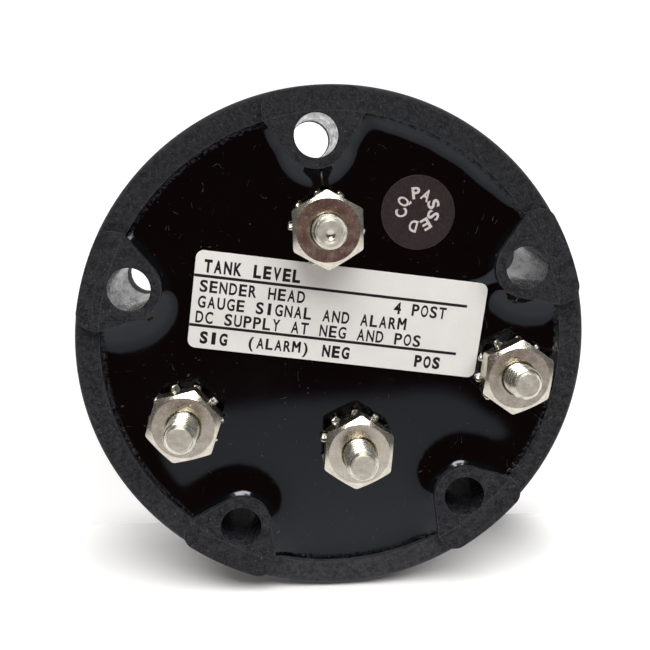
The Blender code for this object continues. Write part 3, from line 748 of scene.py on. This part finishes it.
# ------------------------------------------------------------------ terminals
def make_stud(label, x, y, high, dimple):
    """A rolled 32-thread stud with a chamfered, faced end."""
    around, per_turn = 56, 14
    low = 15.0
    end_r = 1.44

    def radius(angle, z):
        phase = (z / PITCH - angle / (2 * math.pi)) % 1.0
        away = abs(phase - 0.5) * 2.0
        tooth = min(1.0, max(0.0, (away - 0.18) / 0.68))
        tooth = tooth * tooth * (3 - 2 * tooth) * 0.5 + tooth * 0.5
        r = STUD_ROOT_R + (STUD_R - STUD_ROOT_R) * tooth
        return min(r, end_r + (high - z) * 0.95)

    rings = []
    for r0, z in ((3.3, 10.95), (3.8, 11.45), (3.8, 13.6), (STUD_R, 13.6), (STUD_R, low)):
        rings.append([(r0 * math.cos(2 * math.pi * k / around), r0 * math.sin(2 * math.pi * k / around), z) for k in range(around)])
    start = 21.0
    steps = int((high - start) / (PITCH / per_turn))
    for i in range(steps + 1):
        z = start + (high - start) * i / steps
        rings.append(
            [
                (radius(a, z) * math.cos(a), radius(a, z) * math.sin(a), z)
                for a in (2 * math.pi * k / around for k in range(around))
            ]
        )
    faced = ((1.38, 0.0), (1.20, -0.014), (1.05, 0.0), (0.84, -0.018), (0.60, 0.0), (0.36, -0.022), (0.14, 0.0))
    off = (0.0, 0.0)
    if dimple:
        faced = ((1.38, 0.0), (1.28, 0.0), (1.10, -0.05), (0.86, -0.09), (0.6, -0.11), (0.44, -0.20), (0.24, -0.30), (0.10, -0.33))
        off = (0.05, -0.36)
    for r0, dz in faced:
        share = max(0.0, 1 - r0 / 1.4)
        rings.append(
            [
                (r0 * math.cos(a) + share * off[0], r0 * math.sin(a) + share * off[1], high + dz)
                for a in (2 * math.pi * k / around for k in range(around))
            ]
        )
    mesh = rings_mesh(f"threaded_stud_{label}", rings, sharp=48)
    obj = link_object(f"threaded_stud_{label}", mesh, STUD_METAL[label], "head", (x, y))
    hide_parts(f"stud_{label}")
    return obj


def hexagon_radius(angle, corner, circum_cut=0.07):
    """Distance from the axis to a hexagon's side at this angle, corners eased."""
    apothem = NUT_AF / 2
    off = (math.degrees(angle) - corner) % 60 - 30
    r = apothem / math.cos(math.radians(off))
    limit = apothem / math.cos(math.radians(30)) - circum_cut
    soft = 0.04
    if r > limit - soft:
        over = r - (limit - soft)
        r = limit - soft + soft * (1 - math.exp(-over / soft))
    return r


def make_nut(label, x, y, corner):
    around = 240
    angles = [2 * math.pi * k / around for k in range(around)]
    hexes = [hexagon_radius(a, corner) for a in angles]
    slope = math.tan(math.radians(30))
    z0, z1 = NUT_Z0, NUT_Z0 + NUT_H

    def ring(r, z):
        return [(r * math.cos(a), r * math.sin(a), z) for a in angles]

    def cone(share, top):
        out = []
        for a, h in zip(angles, hexes):
            r = NUT_FACE_R + (h - NUT_FACE_R) * share
            fall = (r - NUT_FACE_R) * slope
            out.append((r * math.cos(a), r * math.sin(a), (z1 - fall) if top else (z0 + fall)))
        return out

    def wall(z_share):
        out = []
        for a, h in zip(angles, hexes):
            fall = (h - NUT_FACE_R) * slope
            low, high = z0 + fall, z1 - fall
            out.append((h * math.cos(a), h * math.sin(a), low + (high - low) * z_share))
        return out

    bore, sink = 2.16, 2.36
    rings = [
        ring(bore, z0 + 0.3),
        ring(sink, z0),
        ring(NUT_FACE_R, z0),
        cone(0.5, False),
        wall(0.0),
        wall(0.06),
        wall(0.5),
        wall(0.94),
        wall(1.0),
        cone(0.93, True),
        cone(0.5, True),
        cone(0.06, True),
        ring(NUT_FACE_R, z1),
        ring(3.6, z1),
        ring(3.0, z1),
        ring(sink, z1),
        ring(bore, z1 - 0.22),
    ]
    # thread crests inside the bore
    turns = 2.6 / PITCH
    for i in range(1, 30):
        z = z1 - 0.22 - (NUT_H - 0.52) * i / 30
        rings.append(
            [
                (
                    (bore + 0.10 * math.sin(2 * math.pi * (z / PITCH) - a)) * math.cos(a),
                    (bore + 0.10 * math.sin(2 * math.pi * (z / PITCH) - a)) * math.sin(a),
                    z,
                )
                for a in angles
            ]
        )
    mesh = rings_mesh(f"hex_nut_{label}", rings, sharp=22, loop=True)
    obj = link_object(f"hex_nut_{label}", mesh, NUT_METAL, f"nut_{label}", (x, y))
    bevel = obj.modifiers.new("tumbled_edges", "BEVEL")
    bevel.width, bevel.segments = 0.045 * MM, 2
    bevel.limit_method, bevel.angle_limit = "ANGLE", math.radians(24)
    bevel.harden_normals = True
    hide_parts(f"nut_{label}")
    return obj


def make_washer(label, x, y, tooth_angle):
    """An external-tooth washer: a flat ring with ten twisted teeth."""
    thick, mid = 0.42, WASHER_Z0 + WASHER_T / 2
    around = 120
    angles = [2 * math.pi * k / around for k in range(around)]

    def ring(r, z):
        return [(r * math.cos(a), r * math.sin(a), z) for a in angles]

    verts, faces = [], []
    rings = [
        ring(2.34, mid - thick / 2), ring(3.86, mid - thick / 2), ring(3.95, mid - thick / 2 + 0.08),
        ring(3.95, mid + thick / 2 - 0.08), ring(3.86, mid + thick / 2), ring(2.34, mid + thick / 2),
    ]
    for r in rings:
        verts += r
    for i in range(6):
        j = (i + 1) % 6
        for k in range(around):
            n = (k + 1) % around
            faces.append((i * around + k, i * around + n, j * around + n, j * around + k))
    for tooth in range(10):
        a = math.radians(tooth_angle + 36 * tooth)
        er, et = Vector((math.cos(a), math.sin(a), 0)), Vector((-math.sin(a), math.cos(a), 0))
        sections = []
        for step in range(9):
            share = step / 8
            r = 3.70 + 1.24 * share
            twist = math.radians(34) * min(1.0, max(0.0, (share - 0.05) / 0.5))
            half = 0.66 - 0.08 * share
            if step == 8:
                half -= 0.16
            if step == 7:
                half -= 0.03
            t = thick / 2 * (0.8 if step == 8 else 1.0)
            section = []
            for u, v in ((-1, -0.55), (-0.82, -1), (0.82, -1), (1, -0.55), (1, 0.55), (0.82, 1), (-0.82, 1), (-1, 0.55)):
                px, pz = u * half, v * t
                w = px * math.cos(twist) - pz * math.sin(twist)
                h = px * math.sin(twist) + pz * math.cos(twist)
                p = er * r + et * w
                section.append((p.x, p.y, mid + h))
            sections.append(section)
        base = len(verts)
        for section in sections:
            verts += section
        for s in range(8):
            for k in range(8):
                n = (k + 1) % 8
                faces.append((base + s * 8 + k, base + s * 8 + n, base + s * 8 + 8 + n, base + s * 8 + 8 + k))
        faces.append(tuple(base + k for k in range(7, -1, -1)))
        faces.append(tuple(base + 64 + k for k in range(8)))
    mesh = mesh_from(f"toothed_washer_{label}", verts, faces, 50)
    bm = bmesh.new()
    bm.from_mesh(mesh)
    bmesh.ops.recalc_face_normals(bm, faces=bm.faces)
    bm.to_mesh(mesh)
    bm.free()
    mesh.shade_smooth()
    mesh.set_sharp_from_angle(angle=math.radians(55))
    obj = link_object(f"toothed_washer_{label}", mesh, WASHER_METAL, f"washer_{label}", (x, y))
    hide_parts(f"washer_{label}")
    return obj


# ------------------------------------------------------------------ printing
GLYPHS = {}


def glyph(char, weight):
    """(points, faces) of one character as a mesh of unit size, from Blender's own font."""
    key = (char, weight)
    if key not in GLYPHS:
        curve = bpy.data.curves.new("glyph", "FONT")
        curve.body = char
        curve.offset = weight
        curve.resolution_u = 5
        obj = bpy.data.objects.new("glyph", curve)
        bpy.context.scene.collection.objects.link(obj)
        bpy.context.view_layer.update()
        graph = bpy.context.evaluated_depsgraph_get()
        mesh = bpy.data.meshes.new_from_object(obj.evaluated_get(graph))
        points = np.array([v.co[:2] for v in mesh.vertices]).reshape(-1, 2)
        faces = [tuple(p.vertices) for p in mesh.polygons]
        bpy.data.objects.remove(obj, do_unlink=True)
        GLYPHS[key] = (points, faces)
    return GLYPHS[key]


def cap_height(weight):
    points, _ = glyph("H", weight)
    return points[:, 1].max() - points[:, 1].min()


class Print:
    """Flat printed marks gathered into one mesh, at height z."""

    def __init__(self, z):
        self.z, self.verts, self.faces = z, [], []

    def add(self, points, faces):
        base = len(self.verts)
        self.verts += [(p[0], p[1], self.z) for p in points]
        self.faces += [tuple(base + i for i in f) for f in faces]

    def char(self, char, x, y, height, cell, weight=0.0, turn=0.0, fill=0.80):
        """One character centred on x, y (its cap's middle), turned in degrees."""
        if char == " ":
            return
        if char == "M":
            # drawn from four strokes, which thicken cleanly
            half, up, stroke = cell * fill * 0.44, height / 2, height * (0.115 + 2.4 * weight)
            legs = (((-half, -up), (-half, up)), ((half, -up), (half, up)), ((-half, up), (0, -0.15 * up)), ((half, up), (0, -0.15 * up)))
            for a, b in legs:
                self.bar((x + a[0], y + a[1]), (x + b[0], y + b[1]), stroke)
            return
        points, faces = glyph(char, weight)
        scale = height / cap_height(weight)
        body = points * scale
        mid = (body[:, 0].max() + body[:, 0].min()) / 2
        body = body - (mid, height / 2)
        width = body[:, 0].max() - body[:, 0].min()
        if char in "CDEFGHKLMNOPQRSTUVXYZAB0234567890@anemo" and cell:
            body[:, 0] *= cell * fill / width
        elif char in "I1Jl" and cell:
            body[:, 0] *= min(1.35, cell * fill * 0.62 / width)
        c, s = math.cos(math.radians(turn)), math.sin(math.radians(turn))
        spot = body @ np.array([[c, s], [-s, c]]) + (x, y)
        self.add(spot, faces)

    def bar(self, a, b, width):
        a, b = np.array(a, float), np.array(b, float)
        along = (b - a) / np.linalg.norm(b - a)
        side = np.array([-along[1], along[0]]) * width / 2
        self.add([a - side, b - side, b + side, a + side], [(0, 1, 2, 3)])


def on_label(points):
    x, y, turn = LABEL[:3]
    c, s = math.cos(math.radians(turn)), math.sin(math.radians(turn))
    return [(x + c * px - s * py, y + s * px + c * py, pz) for px, py, pz in points]


def rounded_sheet(name, outline, z0, z1, lift=0.03):
    """A thin sheet whose upper edge is slightly eased."""
    centre = np.mean(outline, 0)
    pts = np.array(outline)
    pull = (pts - centre) * (1 - 0.03 / np.linalg.norm(pts - centre, axis=1)[:, None]) + centre
    rings = [[(x, y, z0) for x, y in pts], [(x, y, z1 - lift) for x, y in pts], [(x, y, z1) for x, y in pull]]
    return rings_mesh(name, rings, sharp=40)


def make_label():
    x, y, turn, w, h, corner = LABEL
    points = []
    for sx, sy, start in ((1, 1, 0), (-1, 1, 90), (-1, -1, 180), (1, -1, 270)):
        for k in range(9):
            a = math.radians(start + 90 * k / 8)
            points.append((sx * (w / 2 - corner) + corner * math.cos(a), sy * (h / 2 - corner) + corner * math.sin(a)))
    c, s = math.cos(math.radians(turn)), math.sin(math.radians(turn))
    outline = [(x + c * px - s * py, y + s * px + c * py) for px, py in points]
    mesh = rounded_sheet("label_sheet", outline, STICK_Z - 0.04, STICK_Z + LABEL_T)
    sheet = link_object("label_sheet", mesh, LABEL_FACE, "head")
    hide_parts("rating_label")

    ink_layer = Print(STICK_Z + LABEL_T + 0.006)
    left, top = -w / 2, h / 2

    def row(text, x0, down, pitch, height, weight=0.0):
        for k, char in enumerate(text):
            ink_layer.char(char, left + x0 + pitch * (k + 0.5), top - down, height, pitch, weight)

    row("TANK LEVEL", 1.05, 1.84, 1.26, 1.70, 0.044)
    ink_layer.bar((left + 0.02, top - 3.26), (left + 35.7, top - 3.26), 0.37)
    row("SENDER HEAD", 0.75, 4.50, 1.255, 1.56, 0.027)
    row("4 POST", 26.0, 4.48, 1.20, 1.56, 0.027)
    row("GAUGE SIGNAL AND ALARM", 0.70, 6.55, 1.245, 1.56, 0.027)
    row("DC SUPPLY AT NEG AND POS", 0.60, 8.55, 1.24, 1.56, 0.024)
    ink_layer.bar((left + 0.02, top - 9.72), (left + 35.2, top - 9.72), 0.37)
    row("SIG", 1.40, 11.15, 1.27, 1.62, 0.046)
    row("(ALARM)", 7.6, 11.15, 1.18, 1.46, 0.030)
    row("NEG", 17.4, 11.15, 1.28, 1.62, 0.044)
    row("POS", 29.7, 11.15, 1.22, 1.62, 0.048)
    ink_layer.verts = on_label(ink_layer.verts)
    mesh = mesh_from("label_print", ink_layer.verts, ink_layer.faces, 60)
    link_object("label_print", mesh, BLACK_INK, "head")


def make_sticker():
    x, y, r = STICKER
    mesh = rounded_sheet("sticker_disc", circle(r, 96, x, y), STICK_Z - 0.04, STICK_Z + STICKER_T)
    disc = link_object("sticker_disc", mesh, STICKER_FACE, "head")
    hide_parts("inspection_sticker")
    layer = Print(STICK_Z + STICKER_T + 0.006)
    cx, cy, ring = x - 0.05, y + 0.36, 2.20
    letters = [("P", 96.5), ("A", 59.5), ("S", 19.5), ("S", -20.0), ("E", -59.0), ("D", -105.0), ("C", 190.5), ("Q", 150.5)]
    for char, angle in letters:
        a = math.radians(angle)
        layer.char(char, cx + ring * math.cos(a), cy + ring * math.sin(a), 1.52, 1.16, 0.030, angle - 90, 0.94)
    mesh = mesh_from("sticker_print", layer.verts, layer.faces, 60)
    link_object("sticker_print", mesh, WHITE_INK, "head")


# ------------------------------------------------------------------ build it all
make_housing()
make_potting()
for stud_label, (sx, sy, sc, st, stop) in STUDS.items():
    make_stud(stud_label, sx, sy, stop, stud_label == "alarm")
    make_nut(stud_label, sx, sy, sc)
    make_washer(stud_label, sx, sy, st)
make_label()
make_sticker()

CARRIED = {
    "flange_gasket": RUBBER, "circuit_board": LAMINATE, "probe_bushing": ALUMINIUM,
    "electrode_insulator": PTFE, "electrode_pin": BRASS, "ground_pin": TIN,
    "sensing_chip": PACKAGE, "voltage_regulator": PACKAGE, "alarm_transistor": PACKAGE,
    "reverse_diode": PACKAGE, "smoothing_capacitor": CAN, "timing_capacitor": FILM,
    "calibration_trimmer": BLUE, "span_resistor": TAN, "pull_up_resistor": TAN,
}
for stud_label in STUDS:
    CARRIED[f"board_nut_{stud_label}"] = NUT_METAL
for node, mat in CARRIED.items():
    data = NODES[node].data
    data.materials.clear()
    data.materials.append(mat)
    data.shade_smooth()
    data.set_sharp_from_angle(angle=math.radians(30))


# ------------------------------------------------------------------ stage
def stage_plane(name, corners, emission, diffuse, one_sided=False):
    mesh = bpy.data.meshes.new(name)
    mesh.from_pydata([tuple(c * MM for c in p) for p in corners], [], [(0, 1, 2, 3)])
    obj = bpy.data.objects.new(name, mesh)
    bpy.context.scene.collection.objects.link(obj)
    mat = bpy.data.materials.new(name + "_paint")
    mat.use_nodes = True
    tree = mat.node_tree
    tree.nodes.clear()
    out = tree.nodes.new("ShaderNodeOutputMaterial")
    glow = tree.nodes.new("ShaderNodeEmission")
    glow.inputs["Color"].default_value = (1.0, 1.0, 1.0, 1.0)
    glow.inputs["Strength"].default_value = emission

    def ramped(value, low, high, a=0.0, b=1.0):
        made = tree.nodes.new("ShaderNodeMapRange")
        made.interpolation_type = "SMOOTHSTEP"
        tree.links.new(value, made.inputs["Value"])
        made.inputs["From Min"].default_value = low * MM
        made.inputs["From Max"].default_value = high * MM
        made.inputs["To Min"].default_value = a
        made.inputs["To Max"].default_value = b
        return made.outputs["Result"]

    def times(a, b):
        made = tree.nodes.new("ShaderNodeMath")
        made.operation = "MULTIPLY"
        tree.links.new(a, made.inputs[0])
        tree.links.new(b, made.inputs[1])
        return made.outputs[0]

    def contact(across, near, left, right):
        """Share of light lost close to the object, fading sideways."""
        wide = tree.nodes.new("ShaderNodeMath")
        wide.operation = "ABSOLUTE"
        tree.links.new(across, wide.inputs[0])
        return times(times(near, ramped(wide.outputs[0], 40.0, 26.0)), ramped(across, -10.0, 10.0, left, right))

    if name == "floor":
        # painted light: the floor patch under the cup glows as bright as the open floor so the screw holes show white,
        # with painted shade under the lower holes
        place = tree.nodes.new("ShaderNodeTexCoord")
        length = tree.nodes.new("ShaderNodeVectorMath")
        length.operation = "LENGTH"
        tree.links.new(place.outputs["Object"], length.inputs[0])
        patch = tree.nodes.new("ShaderNodeMapRange")
        patch.interpolation_type = "SMOOTHSTEP"
        patch.inputs["From Min"].default_value = 35.5 * MM
        patch.inputs["From Max"].default_value = 33.0 * MM
        patch.inputs["To Min"].default_value = emission
        patch.inputs["To Max"].default_value = 1.02
        tree.links.new(length.outputs["Value"], patch.inputs["Value"])
        apart = tree.nodes.new("ShaderNodeSeparateXYZ")
        tree.links.new(place.outputs["Object"], apart.inputs[0])
        # painted shade: the patch goes dark under the lower screw holes
        shade = tree.nodes.new("ShaderNodeMapRange")
        shade.interpolation_type = "SMOOTHSTEP"
        shade.inputs["From Min"].default_value = -6.0 * MM
        shade.inputs["From Max"].default_value = 0.0
        shade.inputs["To Min"].default_value = 0.05
        shade.inputs["To Max"].default_value = 1.02
        tree.links.new(apart.outputs[1], shade.inputs["Value"])
        tree.links.new(shade.outputs["Result"], patch.inputs["To Max"])
        # the soft contact shadow in front of the lower rim
        dim = contact(apart.outputs[0], ramped(apart.outputs[1], -29.5, -34.0), 0.28, 0.50)
        left_over = tree.nodes.new("ShaderNodeMath")
        left_over.operation = "SUBTRACT"
        left_over.inputs[0].default_value = emission
        tree.links.new(dim, left_over.inputs[1])
        tree.links.new(left_over.outputs[0], patch.inputs["To Min"])
        tree.links.new(patch.outputs["Result"], glow.inputs["Strength"])
    paint = tree.nodes.new("ShaderNodeBsdfDiffuse")
    paint.inputs["Color"].default_value = (diffuse, diffuse, diffuse * 0.985, 1.0)
    if name == "card":
        place = tree.nodes.new("ShaderNodeTexCoord")
        apart = tree.nodes.new("ShaderNodeSeparateXYZ")
        tree.links.new(place.outputs["Object"], apart.inputs[0])
        # painted shadow: the card's colour darkens close to the lower rim as a contact shadow
        dim = contact(apart.outputs[0], ramped(apart.outputs[2], 20.0, 0.0), 0.21, 0.70)
        tone = tree.nodes.new("ShaderNodeMix")
        tone.data_type = "RGBA"
        tree.links.new(dim, tone.inputs["Factor"])
        tone.inputs[6].default_value = (diffuse, diffuse, diffuse * 0.985, 1.0)
        tone.inputs[7].default_value = (0.0, 0.0, 0.0, 1.0)
        tree.links.new(tone.outputs[2], paint.inputs["Color"])
    add = tree.nodes.new("ShaderNodeAddShader")
    tree.links.new(glow.outputs[0], add.inputs[0])
    tree.links.new(paint.outputs[0], add.inputs[1])
    last = add.outputs[0]
    if one_sided:
        geometry = tree.nodes.new("ShaderNodeNewGeometry")
        clear = tree.nodes.new("ShaderNodeBsdfTransparent")
        switch = tree.nodes.new("ShaderNodeMixShader")
        tree.links.new(geometry.outputs["Backfacing"], switch.inputs[0])
        tree.links.new(last, switch.inputs[1])
        tree.links.new(clear.outputs[0], switch.inputs[2])
        last = switch.outputs[0]
    tree.links.new(last, out.inputs["Surface"])
    mesh.materials.append(mat)
    return obj


stage_plane("floor", [(-1500, -1500, -0.05), (1500, -1500, -0.05), (1500, 1500, -0.05), (-1500, 1500, -0.05)], 0.68, 0.50)
# a one-sided card along the lower edge, which only the camera sees
card = stage_plane("card", [(400, -33.5, 0.0), (-400, -33.5, 0.0), (-400, -33.5, 90.0), (400, -33.5, 90.0)], 0.0, 0.8, True)
card.visible_diffuse = False
card.visible_glossy = False
card.visible_transmission = False
card.visible_shadow = False


def make_world():
    world = bpy.data.worlds.new("studio")
    bpy.context.scene.world = world
    world.use_nodes = True
    tree = world.node_tree
    tree.nodes.clear()
    out = tree.nodes.new("ShaderNodeOutputWorld")
    coord = tree.nodes.new("ShaderNodeTexCoord")
    split = tree.nodes.new("ShaderNodeSeparateXYZ")
    tree.links.new(coord.outputs["Generated"], split.inputs[0])

    def maths(operation, a, b=0.0):
        made = tree.nodes.new("ShaderNodeMath")
        made.operation = operation
        for socket, value in zip(made.inputs, (a, b)):
            if hasattr(value, "is_linked"):
                tree.links.new(value, socket)
            else:
                socket.default_value = value
        return made.outputs[0]

    def ramp(value, low, high):
        made = tree.nodes.new("ShaderNodeMapRange")
        made.interpolation_type = "SMOOTHSTEP"
        tree.links.new(value, made.inputs["Value"])
        made.inputs["From Min"].default_value = low
        made.inputs["From Max"].default_value = high
        return made.outputs["Result"]

    def mix(factor, a, b):
        made = tree.nodes.new("ShaderNodeMix")
        made.data_type = "RGBA"
        tree.links.new(factor, made.inputs["Factor"])
        for socket, value in ((made.inputs[6], a), (made.inputs[7], b)):
            if isinstance(value, tuple):
                socket.default_value = (*value, 1.0)
            else:
                tree.links.new(value, socket)
        return made.outputs[2]

    x, y, z = split.outputs
    wide = maths("ABSOLUTE", x)
    # what mirrors see: a dim room in front, the table below, a strip light above
    tilt = maths("SUBTRACT", y, maths("MULTIPLY", x, 0.10))
    near = ramp(tilt, -0.256, -0.284)
    far = ramp(tilt, -0.27, -0.50)
    table = maths("ADD", maths("MULTIPLY", near, 0.58), maths("MULTIPLY", far, 0.34))
    strip = maths("MULTIPLY", ramp(y, 0.56, 0.64), ramp(wide, 0.40, 0.26))
    core = maths("MULTIPLY", maths("MULTIPLY", ramp(y, 0.62, 0.66), ramp(y, 0.80, 0.76)), ramp(wide, 0.30, 0.24))
    flank = maths("MULTIPLY", ramp(z, 0.84, 0.70), ramp(z, -0.1, 0.0))
    behind = ramp(z, 0.0, -0.06)
    mirror = mix(flank, (0.092, 0.039, 0.035), (0.085, 0.090, 0.086))
    grey = tree.nodes.new("ShaderNodeCombineXYZ")
    for socket in grey.inputs:
        tree.links.new(table, socket)
    mirror = mix(near, mirror, grey.outputs[0])
    mirror = mix(strip, mirror, (1.25, 1.25, 1.22))
    mirror = mix(core, mirror, (13.0, 13.0, 12.7))
    mirror = mix(behind, mirror, (1.0, 1.0, 1.0))
    # what lights matt surfaces: the same room, with the light as a broad box
    box = ramp(maths("ADD", y, maths("MULTIPLY", x, 0.14)), 0.60, 0.66)
    side = maths("MULTIPLY", ramp(wide, 0.80, 0.97), ramp(z, -0.2, 0.1))
    fill = mix(side, (0.17, 0.125, 0.115), (0.55, 0.55, 0.56))
    fill = mix(near, fill, (0.80, 0.80, 0.80))
    fill = mix(box, fill, (4.6, 4.6, 4.6))
    fill = mix(behind, fill, (1.0, 1.0, 1.0))
    path = tree.nodes.new("ShaderNodeLightPath")
    colour = mix(path.outputs["Is Glossy Ray"], fill, mirror)
    seen = tree.nodes.new("ShaderNodeLightPath").outputs["Is Camera Ray"]
    colour = mix(seen, colour, (1.05, 1.05, 1.05))
    back = tree.nodes.new("ShaderNodeBackground")
    tree.links.new(colour, back.inputs["Color"])
    tree.links.new(back.outputs[0], out.inputs["Surface"])


make_world()

# ------------------------------------------------------------------ camera
RX, RY = math.radians(10.3703), math.radians(3.6115)
TX, TY, DIST = 1.160358, -3.129760, 105.665348
LENS = 820.696 * 36.0 / 650.0
turn = Matrix.Rotation(RX, 3, "X") @ Matrix.Rotation(RY, 3, "Y")
back = turn.transposed()
spot = -(back @ Vector((TX, TY, -DIST))) + Vector((0, 0, PAD_Z))
camera = bpy.data.objects.new("camera", bpy.data.cameras.new("camera"))
bpy.context.scene.collection.objects.link(camera)
camera.matrix_world = Matrix.Translation(spot * MM) @ back.to_4x4()
camera.data.lens = LENS
camera.data.sensor_width = 36.0
camera.data.clip_start = 0.001
camera.data.clip_end = 10.0
camera.data.dof.use_dof = False
bpy.context.scene.camera = camera
bpy.context.scene.view_settings.view_transform = "Standard"
bpy.context.scene.view_settings.look = "None"
